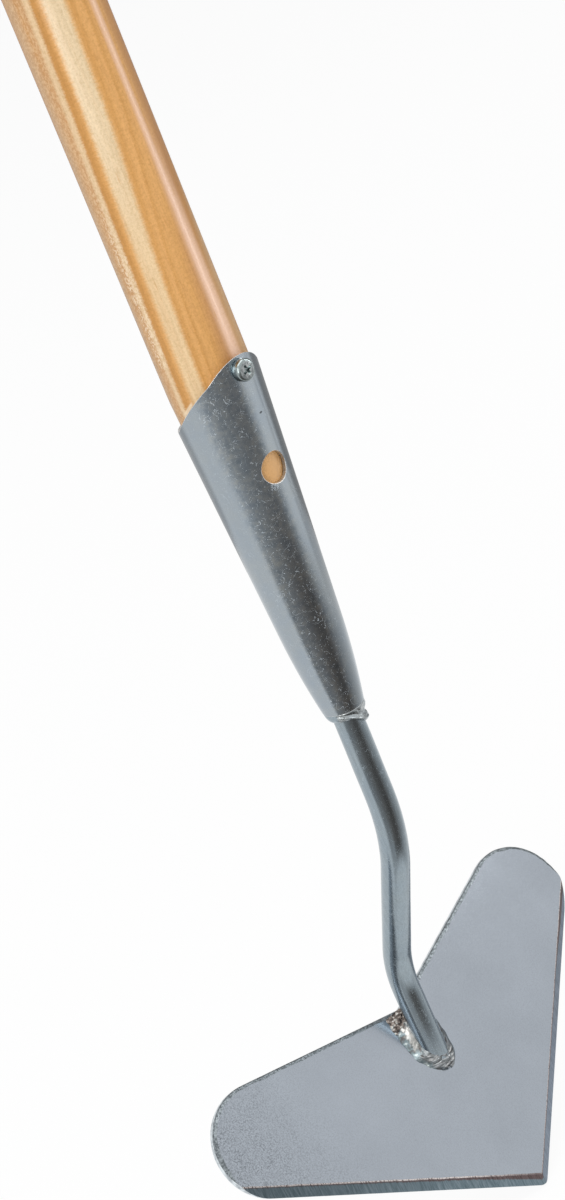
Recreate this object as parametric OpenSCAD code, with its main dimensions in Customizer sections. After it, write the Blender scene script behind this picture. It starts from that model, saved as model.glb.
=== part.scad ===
// Warren hoe: a heart-shaped steel blade on a cranked rod, with a sheet steel socket on a wooden handle.
// The handle stands along Z. The origin is on its axis, level with the top of the socket's tongue.
// The tongue, the screw and the blade's bevelled face look towards +X, and the XZ plane is the mirror plane.

/* [Handle] */
// Diameter of the round wooden handle
handle_d = 28; // [22:0.5:36]
// Length of the handle above the socket's tongue
handle_reach = 1416; // [800:2:1700]
// Radius of the rounded edge at the handle's top end
handle_round = 6; // [2:0.5:10]
// How far the handle's tapered end stops short of the socket's waist
handle_stop = 9; // [4:1:30]

/* [Socket] */
// Thickness of the socket's sheet
socket_wall = 1.5; // [1:0.1:3]
// Gap all round between the handle's tapered end and the socket
socket_fit = 0.1; // [0.05:0.05:0.3]
// Gap between the full handle and the top of the tongue
mouth_gap = 0.6; // [0.2:0.05:1]
// Outer diameter at the waist, where the straight taper ends
waist_d = 21.2; // [18:0.2:26]
// Length of the straight taper, from the tongue's top to the waist
taper_len = 93; // [70:1:130]
// Length of the curved nose below the waist
nose_len = 30; // [20:1:45]
// Slope of the tongue's sides
tongue_angle = 47.5; // [46:0.5:60]
// Height of the tongue, from its top to the gentler slant of the mouth
tongue_len = 5; // [3:0.5:8]
// Slope of the slanted mouth below the tongue
mouth_angle = 36; // [25:1:44]
// Distance of the mouth's level back edge below the tongue's top
mouth_back = 18.5; // [14:0.5:25]
// Radius between the tongue's sides, the slant and the level back edge
mouth_blend = 12; // [4:0.5:16]
// Diameter of the spare hole in the tongue side
spare_hole_d = 10; // [5:0.5:14]
// Distance of the spare hole below the tongue's top
spare_hole_drop = 37; // [26:1:60]
// Width of the open seam down the back
seam_w = 0.8; // [0.4:0.1:2]

/* [Screw] */
// Distance of the screw below the tongue's top
screw_drop = 4.5; // [4:0.5:12]
// Diameter of the screw's shank
shank_d = 4; // [3:0.25:5]
// Length of the screw under its head
screw_len = 20; // [14:1:24]
// Length of the screw's point
point_len = 6; // [3:0.5:8]
// Diameter of the screw's pan head
head_d = 7; // [6:0.1:9]
// Height of the pan head
head_h = 3; // [2:0.1:3.4]
// Rounding of the head's upper edge
head_round = 0.8; // [0.4:0.1:1.6]
// Length of each slot of the cross recess
recess_len = 3.8; // [3:0.1:5]
// Width of each slot of the cross recess
recess_w = 1; // [0.6:0.1:1.6]
// Depth of the cross recess
recess_depth = 1.3; // [0.8:0.1:2]
// Turn of the cross recess about the screw
recess_turn = 20; // [0:5:85]
// Gap round the shank in the socket's sheet
sheet_gap = 0.25; // [0.1:0.05:0.5]
// Gap round the shank in the wood
wood_gap = 0.05; // [0.02:0.01:0.15]

/* [Neck] */
// Diameter of the neck rod
neck_d = 10; // [7:0.5:13]
// Gap between the neck rod and the end of the socket's nose, under the weld
neck_fit = 0.6; // [0.2:0.05:0.9]
// Length of the neck rod inside the socket
neck_insert = 24; // [12:1:30]
// Straight run from the socket's end to the first bend
neck_straight = 33; // [20:1:60]
// Angle of the first bend, away from the tongue side
bend_out = 25; // [10:1:40]
// Radius of the first bend at the rod's middle
bend_out_r = 72; // [30:1:100]
// Straight run between the bends
neck_middle = 41; // [20:1:70]
// Angle of the second bend, back towards the tongue side
bend_back = 27; // [10:1:45]
// Radius of the second bend at the rod's middle
bend_back_r = 42; // [20:1:70]
// Straight run from the second bend to the blade's face, along the rod's middle
neck_end = 25; // [15:1:40]
// How much the rod's radius shrinks in its bends
bend_thinning = 0.05; // [0.02:0.01:0.2]
// How far the rod's foot reaches from its middle towards the tip before it is cut square
foot_reach = 7; // [4:0.5:9]

/* [Blade] */
// Width over the two lobes
blade_w = 180; // [130:1:220]
// Thickness of the plate
blade_t = 3; // [2:0.1:5]
// Angle between the blade and the handle's line
blade_tilt = 33; // [25:1:45]
// Half of the angle at the tip
tip_half_angle = 52.5; // [42:0.5:60]
// Radius of the small rounding at the tip
tip_r = 3; // [0.5:0.1:4]
// Radius of the two lobes
lobe_r = 19.5; // [14:0.5:26]
// Distance from the sharp tip to the notch in the back edge
notch_from_tip = 79.5; // [65:0.5:90]
// Distance from the notch to the middle of the rod's foot
foot_from_notch = 18; // [15:0.5:24]
// Width of the ground bevel on the two cutting edges
bevel_w = 3.7; // [2:0.1:8]
// Thickness left at the cutting edge
edge_land = 0.3; // [0.1:0.1:1]

/* [Welds] */
// Rounding of the bead under the socket
collar_r = 4; // [3:0.1:6]
// Half width of the bead on the blade
bead_half_w = 9; // [7:0.5:11]
// Height of the bead on the blade
bead_h = 5; // [3.5:0.1:6]
// How far the bead stops short of the notch
bead_heel = 1; // [0.5:0.1:3]
// How far the bead runs past the rod's cut foot
bead_toe = 2.6; // [1.5:0.1:4]

/* [Hidden] */
$fn = 96;
overrun = 1;

handle_r = handle_d / 2;
shank_r = shank_d / 2;
head_r = head_d / 2;
neck_r = neck_d / 2;

// Socket sizes, as radii and heights on the handle's axis
mouth_r = handle_r + mouth_gap + socket_wall;
waist_r = waist_d / 2;
nose_r = neck_r + neck_fit + socket_wall;
taper_slope = (mouth_r - waist_r) / taper_len;
taper_angle = atan(taper_slope);
socket_end = -(taper_len + nose_len);
nose_steps = 10;
// The nose leaves the taper smoothly and closes on the neck rod along a parabola
nose_curve = (waist_r - nose_r - taper_slope * nose_len) / (nose_len * nose_len);
function nose_radius(s) = waist_r - taper_slope * s - nose_curve * s * s;
function taper_radius(z) = mouth_r + taper_slope * z;

// The handle eases in by half the fit down to where it would meet the sheet, and then follows the sheet's taper
handle_bottom = -(taper_len - handle_stop);
ease = socket_fit / 2;
taper_start = -(mouth_gap - ease) / taper_slope;
foot_r = handle_r - ease - taper_slope * (taper_start - handle_bottom);

// How far each straight run of the rod reaches into its bends
bend_lap = neck_d / 20;
// Size of the blocks that cut the rod's foot
foot_cut = 6 * neck_d;

// Corners of the neck's middle line, as x and z in the mirror plane
function heading(a) = [sin(a), -cos(a)];
end_angle = bend_back - bend_out;
neck_top = socket_end + neck_insert;
bend_1 = [0, socket_end - neck_straight];
bend_1_centre = bend_1 - [bend_out_r, 0];
middle_start = bend_1_centre + bend_out_r * [cos(bend_out), -sin(bend_out)];
bend_2 = middle_start + neck_middle * heading(-bend_out);
bend_2_centre = bend_2 + bend_back_r * [cos(bend_out), -sin(bend_out)];
end_start = bend_2_centre - bend_back_r * [cos(end_angle), sin(end_angle)];
foot = end_start + neck_end * heading(end_angle);

// Blade outline, with x towards the tip from the middle of the rod's foot, and y sideways
tip_x = notch_from_tip - foot_from_notch;
notch_x = -foot_from_notch;
lobe_y = blade_w / 2 - lobe_r;
lobe_x = tip_x - (lobe_r + lobe_y * cos(tip_half_angle)) / sin(tip_half_angle);
tip_round_x = tip_x - tip_r / sin(tip_half_angle);
edge_normal = [sin(tip_half_angle), cos(tip_half_angle)];
back_span = norm([lobe_x - notch_x, lobe_y]);
back_angle = atan2(lobe_x - notch_x, lobe_y) - asin(lobe_r / back_span);
back_normal = [-cos(back_angle), sin(back_angle)];
edge_len = blade_w;
// The straight edges end a hair inside the round corners, so that each pair has a clear crossing
corner_lap = tip_r / 300;

// Bead on the blade: rings across it, from the heel at the notch to the toe past the rod's foot
bead_back = bead_heel - foot_from_notch;
bead_front = foot_reach + bead_toe;
bead_rings = 36;
bead_sides = 10;
bead_lumps = 7;
lump_share = 0.06;
heel_share = 0.26;
last_ring_share = 0.985;

function bead_fullness(s) = sqrt(1 - s * s * s);
function bead_swell(s) = (1 - heel_share * pow(1 - s, 4)) * (1 + lump_share * sin(bead_lumps * 360 * s));
function bead_width(s) = bead_half_w * bead_fullness(s) * bead_swell(s);
function bead_ring(s) = [
    for (j = [0:bead_sides])
        let (across = 2 * j / bead_sides - 1)
            [
                bead_back + (bead_front - bead_back) * s,
                bead_width(s) * across,
                bead_h * bead_fullness(s) * (1 - across * across)
            ]
];

// Half of a profile with its outer top edge rounded, for turning about the axis
module rounded_top_profile(r, bottom, top, edge) {
    translate([0, bottom])
        square([r, top - edge - bottom]);
    translate([0, top - edge])
        square([r - edge, edge]);
    translate([r - edge, top - edge])
        circle(r = edge);
}

// Puts the screw's axis square to the tongue, with its seat on the sheet
module at_screw() {
    translate([taper_radius(-screw_drop), 0, -screw_drop])
        rotate([0, 90 + taper_angle, 0])
            children();
}

// Puts a flat blade in place, with its upper face through the rod's foot
module at_blade() {
    translate([foot[0], 0, foot[1]])
        rotate([0, 90 - blade_tilt, 0])
            children();
}

// Screw below its head, with an allowance all round
module shank(gap) {
    translate([0, 0, point_len - screw_len])
        cylinder(r = shank_r + gap, h = screw_len - point_len);
    translate([0, 0, -screw_len])
        cylinder(r1 = gap, r2 = shank_r + gap, h = point_len);
}

module handle() {
    color("burlywood")
        difference() {
            union() {
                rotate_extrude()
                    rounded_top_profile(handle_r, 0, handle_reach, handle_round);
                translate([0, 0, taper_start])
                    cylinder(r1 = handle_r - ease, r2 = handle_r, h = -taper_start);
                translate([0, 0, handle_bottom])
                    cylinder(r1 = foot_r, r2 = handle_r - ease, h = taper_start - handle_bottom);
            }
            at_screw()
                shank(wood_gap);
        }
}

// Outer line of the socket from mouth to end, and the same line inside the sheet
module socket_profile() {
    outer = concat(
        [[mouth_r, 0]],
        [for (i = [0:nose_steps]) let (s = nose_len * i / nose_steps) [nose_radius(s), -taper_len - s]]
    );
    inner = [for (i = [len(outer) - 1:-1:0]) outer[i] - [socket_wall, 0]];
    polygon(concat(outer, inner));
}

// What the slanted mouth cuts away, drawn in the mirror plane: a level back edge, a slant and the tongue's side
module mouth_cut() {
    far = 2 * mouth_r;
    knee = [mouth_r - tongue_len / tan(tongue_angle), -tongue_len];
    corner = [knee[0] - (mouth_back - tongue_len) / tan(mouth_angle), -mouth_back];
    slant = [cos(mouth_angle), sin(mouth_angle)];
    side = [cos(tongue_angle), sin(tongue_angle)];
    knee_setback = mouth_blend * tan((tongue_angle - mouth_angle) / 2);
    back_setback = mouth_blend * tan(mouth_angle / 2);
    back_start = corner - [back_setback, 0];
    knee_start = knee - knee_setback * slant;
    rotate([90, 0, 0])
        linear_extrude(2 * far, center = true) {
            polygon([
                [-far, -mouth_back],
                back_start,
                corner + back_setback * slant,
                knee_start,
                knee + knee_setback * side,
                [mouth_r + overrun, overrun * tan(tongue_angle)],
                [mouth_r + overrun, far],
                [-far, far]
            ]);
            translate(back_start + [0, mouth_blend])
                circle(r = mouth_blend);
            translate(knee_start + mouth_blend * [-slant[1], slant[0]])
                circle(r = mouth_blend);
        }
}

module socket() {
    color("lightsteelblue")
        difference() {
            rotate_extrude()
                socket_profile();
            mouth_cut();
            translate([0, 0, -spare_hole_drop])
                rotate([0, 90, 0])
                    cylinder(d = spare_hole_d, h = mouth_r + overrun);
            at_screw()
                translate([0, 0, -handle_r])
                    cylinder(r = shank_r + sheet_gap, h = handle_r + overrun);
            translate([-mouth_r - overrun, -seam_w / 2, socket_end - overrun])
                cube([mouth_r + overrun, seam_w, -socket_end + overrun]);
        }
}

module handle_screw() {
    color("silver")
        at_screw() {
            difference() {
                rotate_extrude()
                    rounded_top_profile(head_r, 0, head_h, head_round);
                for (turn = [0, 90])
                    rotate([0, 0, recess_turn + turn])
                        translate([-recess_len / 2, -recess_w / 2, head_h - recess_depth])
                            cube([recess_len, recess_w, recess_depth + overrun]);
            }
            shank(0);
        }
}

// Straight piece of rod, running down from a corner at an angle, with a lap at both ends
module rod_run(corner, angle, run) {
    translate([corner[0], 0, corner[1]])
        rotate([0, 180 - angle, 0])
            translate([0, 0, -bend_lap])
                cylinder(r = neck_r, h = run + 2 * bend_lap);
}

// Bent piece of rod about a centre, from one angle round to another
module rod_bend(centre, radius, from, sweep) {
    translate([centre[0], 0, centre[1]])
        rotate([90, 0, 0])
            rotate([0, 0, from])
                rotate_extrude(angle = sweep)
                    translate([radius, 0])
                        circle(r = neck_r - bend_thinning);
}

// The bent rod, running on past the blade's face
module whole_rod() {
    rod_run([0, neck_top - bend_lap], 0, neck_insert + neck_straight - bend_lap);
    rod_bend(bend_1_centre, bend_out_r, -bend_out, bend_out);
    rod_run(middle_start, -bend_out, neck_middle);
    rod_bend(bend_2_centre, bend_back_r, 180 - bend_out, bend_back);
    rod_run(end_start, end_angle, neck_end + 2 * neck_d);
}

// The rod with its thin toe cut square
module toed_rod() {
    difference() {
        whole_rod();
        at_blade()
            translate([foot_reach, -foot_cut / 2, -foot_cut])
                cube([foot_cut, foot_cut, 2 * foot_cut]);
    }
}

module neck() {
    color("lightsteelblue")
        difference() {
            toed_rod();
            at_blade()
                translate([-foot_cut / 2, -foot_cut / 2, -foot_cut])
                    cube([foot_cut, foot_cut, foot_cut]);
        }
}

module socket_weld() {
    color("gray")
        rotate_extrude()
            intersection() {
                translate([nose_r - collar_r, socket_end])
                    circle(r = collar_r);
                translate([neck_r, socket_end - collar_r])
                    square([collar_r, collar_r]);
            }
}

module blade_outline() {
    tip_corner = [tip_round_x, 0] + (tip_r - corner_lap) * edge_normal;
    edge_end = [lobe_x, lobe_y] + (lobe_r - corner_lap) * edge_normal;
    back_end = [lobe_x, lobe_y] + (lobe_r - corner_lap) * back_normal;
    half = [tip_corner, edge_end, back_end];
    polygon(concat(
        half,
        [[notch_x, 0]],
        [for (i = [len(half) - 1:-1:0]) [half[i][0], -half[i][1]]]
    ));
    translate([tip_round_x, 0])
        circle(r = tip_r);
    for (side = [-1, 1])
        translate([lobe_x, side * lobe_y])
            circle(r = lobe_r);
}

// Wedge that grinds one cutting edge down to its thin land, on the +Y side
module bevel_cut() {
    bevel_rise = (blade_t - edge_land) / bevel_w;
    translate([tip_x, 0, 0])
        rotate([0, 0, -tip_half_angle])
            rotate([90, 0, 90])
                translate([0, 0, -edge_len])
                    linear_extrude(2 * edge_len)
                        polygon([
                            [-bevel_w - overrun, bevel_rise * overrun],
                            [overrun, edge_land - blade_t - bevel_rise * overrun],
                            [overrun, bevel_rise * overrun]
                        ]);
}

module blade() {
    color("lightsteelblue")
        at_blade()
            difference() {
                translate([0, 0, -blade_t])
                    linear_extrude(blade_t)
                        blade_outline();
                bevel_cut();
                mirror([0, 1, 0])
                    bevel_cut();
            }
}

module blade_weld() {
    rings = [for (i = [0:bead_rings]) bead_ring(last_ring_share * i / bead_rings)];
    per_ring = bead_sides + 1;
    last = bead_rings * per_ring;
    color("gray")
        difference() {
            at_blade()
                polyhedron(
                    points = [for (ring = rings) for (p = ring) p],
                    faces = concat(
                        [[for (j = [0:bead_sides]) j]],
                        [for (i = [0:bead_rings - 1]) for (j = [0:bead_sides])
                            let (a = i * per_ring + j, b = i * per_ring + (j + 1) % per_ring)
                                each [[a, a + per_ring, b], [b, a + per_ring, b + per_ring]]],
                        [[for (j = [bead_sides:-1:0]) last + j]]
                    )
                );
            toed_rod();
        }
}

handle();
socket();
handle_screw();
neck();
socket_weld();
blade();
blade_weld();
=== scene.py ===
from math import asin, atan, atan2, cos, degrees, exp, hypot, pi, radians, sin, sqrt, tan

import bmesh
import bpy
from mathutils import Matrix, Vector
from mathutils.noise import noise


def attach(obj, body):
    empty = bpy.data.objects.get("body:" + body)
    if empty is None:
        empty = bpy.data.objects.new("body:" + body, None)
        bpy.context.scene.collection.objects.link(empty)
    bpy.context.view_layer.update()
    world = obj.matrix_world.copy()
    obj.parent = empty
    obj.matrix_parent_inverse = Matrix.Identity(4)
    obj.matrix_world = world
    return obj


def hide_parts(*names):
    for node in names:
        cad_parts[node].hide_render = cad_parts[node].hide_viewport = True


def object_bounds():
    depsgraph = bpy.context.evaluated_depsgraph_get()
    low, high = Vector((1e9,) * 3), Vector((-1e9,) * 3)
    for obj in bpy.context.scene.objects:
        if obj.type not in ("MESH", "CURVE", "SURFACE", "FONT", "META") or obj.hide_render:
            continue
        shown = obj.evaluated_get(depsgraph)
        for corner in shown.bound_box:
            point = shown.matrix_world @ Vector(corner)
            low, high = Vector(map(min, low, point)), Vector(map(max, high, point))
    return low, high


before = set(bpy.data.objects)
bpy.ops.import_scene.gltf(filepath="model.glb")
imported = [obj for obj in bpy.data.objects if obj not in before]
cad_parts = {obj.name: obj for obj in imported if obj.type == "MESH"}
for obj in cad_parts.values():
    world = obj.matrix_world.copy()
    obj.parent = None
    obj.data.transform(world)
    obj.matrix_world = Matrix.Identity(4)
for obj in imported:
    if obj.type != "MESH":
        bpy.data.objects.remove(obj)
CAD_LOW, CAD_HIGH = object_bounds()

# Sizes in millimetres, as in the part's source
MM = 0.001
HANDLE_R = 14.0
HANDLE_TOP = 1416.0
HANDLE_ROUND = 6.0
HANDLE_BOTTOM = -84.0
MOUTH_R = 16.1
WAIST_R = 10.6
NOSE_R = 7.1
TAPER_LEN = 93.0
NOSE_LEN = 30.0
WALL = 1.5
MOUTH_GAP = 0.6
HANDLE_EASE = 0.05
TAPER_SLOPE = (MOUTH_R - WAIST_R) / TAPER_LEN
NOSE_CURVE = (WAIST_R - NOSE_R - TAPER_SLOPE * NOSE_LEN) / NOSE_LEN ** 2
SOCKET_END = -(TAPER_LEN + NOSE_LEN)
HANDLE_TAPER = -(MOUTH_GAP - HANDLE_EASE) / TAPER_SLOPE
HANDLE_FOOT_R = HANDLE_R - HANDLE_EASE - TAPER_SLOPE * (HANDLE_TAPER - HANDLE_BOTTOM)
TONGUE_ANGLE = radians(47.5)
TONGUE_LEN = 5.0
MOUTH_ANGLE = radians(36)
MOUTH_BACK = 18.5
MOUTH_BLEND = 12.0
MOUTH_KNEE = MOUTH_R - TONGUE_LEN / tan(TONGUE_ANGLE)
HOLE_R = 5.0
HOLE_Z = -37.0
SEAM_HALF = 0.4
SCREW_Z = -4.5
HEAD_R = 3.5
HEAD_H = 3.0
NECK_R = 5.0
NECK_TOP = -99.0
BEND_1_Z = -156.0
BEND_1_R = 72.0
BEND_1_ANGLE = radians(25)
BEND_2_R = 42.0
BEND_2_ANGLE = radians(27)
MIDDLE_RUN = 41.0
END_RUN = 25.0
BLADE_T = 3.0
BLADE_TILT = radians(33)
TIP_X = 61.5
TIP_R = 3.0
TIP_HALF = radians(52.5)
NOTCH_X = -18.0
LOBE_R = 19.5
LOBE_Y = 70.5
BEVEL_W = 3.7
EDGE_LAND = 0.3
EDGE_ROUND = 1.3
FOOT_REACH = 7.0
BEVEL_RUN = LOBE_Y / sin(TIP_HALF) + LOBE_R


def heading(angle):
    """Direction in the mirror plane at an angle off straight down."""
    return Vector((sin(angle), 0, -cos(angle)))


def square_to(angle):
    """Direction in the mirror plane square to that heading, on its +X side."""
    return Vector((cos(angle), 0, sin(angle)))


def ease(low, high, value):
    """Rises smoothly from 0 at low to 1 at high."""
    share = min(max((value - low) / (high - low), 0.0), 1.0)
    return share * share * (3 - 2 * share)


def hump(value, middle, width):
    """Bell curve, 1 at the middle."""
    return exp(-((value - middle) / width) ** 2)


# Middle line of the rod, in the mirror plane, down to its foot on the blade
END_ANGLE = BEND_2_ANGLE - BEND_1_ANGLE
OUT = heading(-BEND_1_ANGLE)
BACK = heading(END_ANGLE)
BEND_1_CENTRE = Vector((-BEND_1_R, 0, BEND_1_Z))
MIDDLE_START = Vector((BEND_1_R * cos(BEND_1_ANGLE) - BEND_1_R, 0, BEND_1_Z - BEND_1_R * sin(BEND_1_ANGLE)))
BEND_2_CENTRE = MIDDLE_START + MIDDLE_RUN * OUT + BEND_2_R * square_to(-BEND_1_ANGLE)
END_START = BEND_2_CENTRE - BEND_2_R * square_to(END_ANGLE)
FOOT = END_START + END_RUN * BACK

# Blade frame: its origin is the middle of the rod's foot on the upper face
TO_TIP = heading(BLADE_TILT)
FACE_UP = square_to(BLADE_TILT)
ACROSS = Vector((0, 1, 0))


def on_blade(x, y, z):
    """Point of the blade's frame in the part's frame."""
    return FOOT + TO_TIP * x + ACROSS * y + FACE_UP * z


# Node trees


class Nodes:
    """Node tree of a world or a new material, with a short call for each kind of node."""

    def __init__(self, owner, bare=False):
        self.owner = bpy.data.materials.new(owner) if isinstance(owner, str) else owner
        self.owner.use_nodes = True
        self.tree = self.owner.node_tree
        if bare:
            self.tree.nodes.clear()

    def join(self, socket, value):
        """Links the socket to another, or sets it."""
        if isinstance(value, bpy.types.NodeSocket):
            self.tree.links.new(value, socket)
        else:
            socket.default_value = value

    def add(self, kind, inputs=None, **settings):
        """New node with its settings and inputs."""
        made = self.tree.nodes.new(kind)
        for key, value in settings.items():
            setattr(made, key, value)
        for key, value in (inputs or {}).items():
            self.join(made.inputs[key], value)
        return made

    def maths(self, operation, *values, clamp=False):
        """Output of a Math node."""
        inputs = dict(enumerate(values))
        return self.add("ShaderNodeMath", inputs, operation=operation, use_clamp=clamp).outputs[0]

    def times(self, first, *others):
        """Product of all values."""
        for other in others:
            first = self.maths("MULTIPLY", first, other)
        return first

    def most(self, first, *others):
        """Largest of all values."""
        for other in others:
            first = self.maths("MAXIMUM", first, other)
        return first

    def less(self, first, second):
        """First value less the second."""
        return self.maths("SUBTRACT", first, second)

    def mul_add(self, value, factor, base, clamp=False):
        """Value times a factor, on top of a base."""
        return self.maths("MULTIPLY_ADD", value, factor, base, clamp=clamp)

    def coords(self, uv=None, stretch=None):
        """Object or UV coordinates, stretched along each axis."""
        if uv:
            made = self.add("ShaderNodeUVMap", uv_map=uv).outputs[0]
        else:
            made = self.add("ShaderNodeTexCoord").outputs["Object"]
        if stretch:
            made = self.add("ShaderNodeMapping", {"Vector": made, "Scale": stretch}).outputs[0]
        return made

    def axes(self, uv=None):
        """Separate x, y and z of the coordinates."""
        return self.add("ShaderNodeSeparateXYZ", {0: self.coords(uv)}).outputs

    def cloud(self, scale, detail=3.0, roughness=0.5, distortion=0.0, uv=None):
        """Noise about 0.5, with one scale or one for each axis."""
        stretch = scale if isinstance(scale, tuple) else None
        inputs = {
            "Vector": self.coords(uv, stretch),
            "Scale": 1.0 if stretch else scale,
            "Detail": detail,
            "Roughness": roughness,
            "Distortion": distortion,
        }
        return self.add("ShaderNodeTexNoise", inputs).outputs[0]

    def between(self, value, low, high):
        """Value moved smoothly from the span low to high onto 0 to 1."""
        inputs = {"Value": value, "From Min": low, "From Max": high}
        return self.add("ShaderNodeMapRange", inputs, interpolation_type="SMOOTHSTEP").outputs[0]

    def spread(self, value, low, high):
        """Value from 0 to 1 moved onto the span low to high."""
        inputs = {"Value": value, "To Min": low, "To Max": high}
        return self.add("ShaderNodeMapRange", inputs).outputs[0]

    def band(self, value, middle, half, soft):
        """1 within half of the middle, fading to 0 over the soft stretch beyond."""
        away = self.maths("ABSOLUTE", self.less(value, middle))
        return self.between(away, half + soft, half)

    def blend(self, factor, first, second, kind="MIX"):
        """Colour mixed from two colours."""
        made = self.add("ShaderNodeMix", {"Factor": factor}, data_type="RGBA", blend_type=kind)
        sockets = {socket.identifier: socket for socket in (*made.inputs, *made.outputs)}
        for key, value in (("A_Color", first), ("B_Color", second)):
            self.join(sockets[key], (*value, 1.0) if isinstance(value, tuple) else value)
        return sockets["Result_Color"]

    def ramp(self, factor, stops):
        """Colour from a ramp of places with colours or shades of grey."""
        made = self.add("ShaderNodeValToRGB", {"Fac": factor})
        elements = made.color_ramp.elements
        while len(elements) < len(stops):
            elements.new(0.5)
        for element, (place, colour) in zip(elements, stops):
            element.position = place
            element.color = (*colour, 1.0) if isinstance(colour, tuple) else (colour, colour, colour, 1.0)
        return made.outputs["Color"]

    def tinted(self, amount, colour, value, dark, light):
        """Colour times a tint, from the stop dark through white to the stop light."""
        tint = self.ramp(value, (dark, (0.50, 1.0), light))
        return self.blend(amount, colour, tint, "MULTIPLY")

    def bump(self, height, strength, distance):
        """Normal bent by a height."""
        inputs = {"Height": height, "Strength": strength, "Distance": distance}
        return self.add("ShaderNodeBump", inputs).outputs[0]

    def done(self, **inputs):
        """The material, with its shader's inputs joined by name, _ for a space."""
        shader = self.tree.nodes["Principled BSDF"]
        for key, value in inputs.items():
            self.join(shader.inputs[key.replace("_", " ")], value)
        return self.owner

    def metal(self, tone, rough, height, strength, distance=0.0003):
        """The material, as uneven bare metal."""
        normal = self.bump(height, strength, distance)
        return self.done(Base_Color=tone, Metallic=1.0, Roughness=rough, Normal=normal)


# Materials

# Wood colours
EDGE = (0.58, 0.36, 0.19)
TAN = (0.60, 0.335, 0.145)
SCUFFED = (0.76, 0.55, 0.33)
ORANGE = (0.56, 0.27, 0.07)
CREAM = (0.78, 0.555, 0.31)
PALE = (0.80, 0.63, 0.41)
AMBER = (0.69, 0.36, 0.115)
HONEY = (0.735, 0.39, 0.133)
LATE = (0.64, 0.32, 0.09)
# Painted highlights on the lacquer, pink and paler
PAINTED_PINK_HIGHLIGHT = (0.78, 0.48, 0.31)
PAINTED_PALE_HIGHLIGHT = (0.90, 0.59, 0.41)
BROWN = (0.54, 0.27, 0.105)
STREAK = (0.57, 0.26, 0.06)
RAW = (0.72, 0.41, 0.17)
CRUMB = (0.86, 0.68, 0.47)

# Places are shares of a turn about the axis, with 0.5 towards +X and 0.4 towards the camera
WOOD_BANDS = (
    (0.00, AMBER), (0.07, CREAM), (0.14, TAN), (0.20, EDGE), (0.24, TAN), (0.262, TAN), (0.275, SCUFFED),
    (0.288, SCUFFED), (0.299, ORANGE), (0.311, ORANGE), (0.326, AMBER), (0.346, CREAM), (0.395, CREAM),
    (0.417, AMBER), (0.427, LATE), (0.437, AMBER), (0.447, HONEY), (0.46, HONEY), (0.468, LATE),
    (0.477, AMBER), (0.495, HONEY), (0.525, AMBER), (0.60, BROWN), (0.66, ORANGE), (0.74, CREAM),
    (0.82, AMBER), (0.90, CREAM), (1.00, AMBER),
)


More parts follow.
